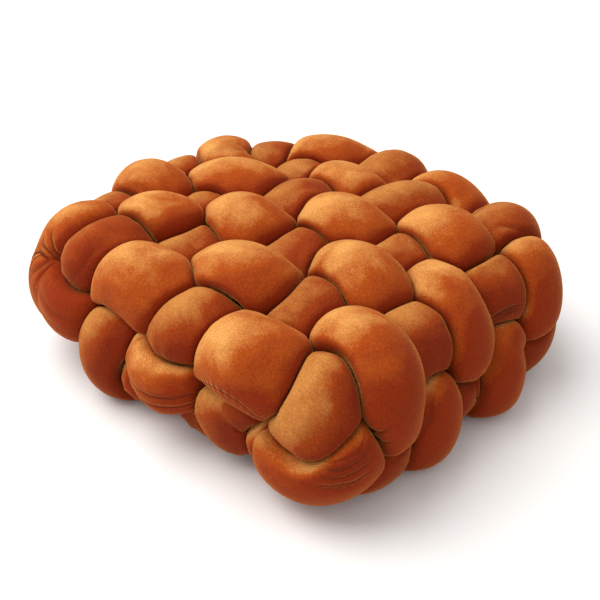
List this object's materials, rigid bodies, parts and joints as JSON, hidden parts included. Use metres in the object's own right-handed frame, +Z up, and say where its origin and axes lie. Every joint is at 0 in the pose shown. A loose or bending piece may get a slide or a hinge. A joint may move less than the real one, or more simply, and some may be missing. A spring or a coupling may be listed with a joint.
{
  "type": "knot cushion",
  "caption": "Low square cushion woven from stuffed velvet tubes: plain-weave top, rounded sides with tubes turned back round the corners, woven underside.",
  "frame": {"origin": "middle of the footprint, on the surface that the cushion rests on", "axes": "+Z up; X and Y along the two sets of tubes; the pictured corner is at +X, -Y"},
  "size_m": [0.5228, 0.489, 0.1922],
  "materials": {
    "velvet": "soft brushed velvet, rust orange"
  },
  "bodies": {
    "root": {"ring_x0": "velvet", "ring_x1": "velvet", "ring_x2": "velvet", "ring_x3": "velvet", "ring_x4": "velvet", "ring_x5": "velvet", "ring_y0": "velvet", "ring_y1": "velvet", "ring_y2": "velvet", "ring_y3": "velvet", "ring_y4": "velvet", "ring_y5": "velvet"}
  },
  "joints": []
}
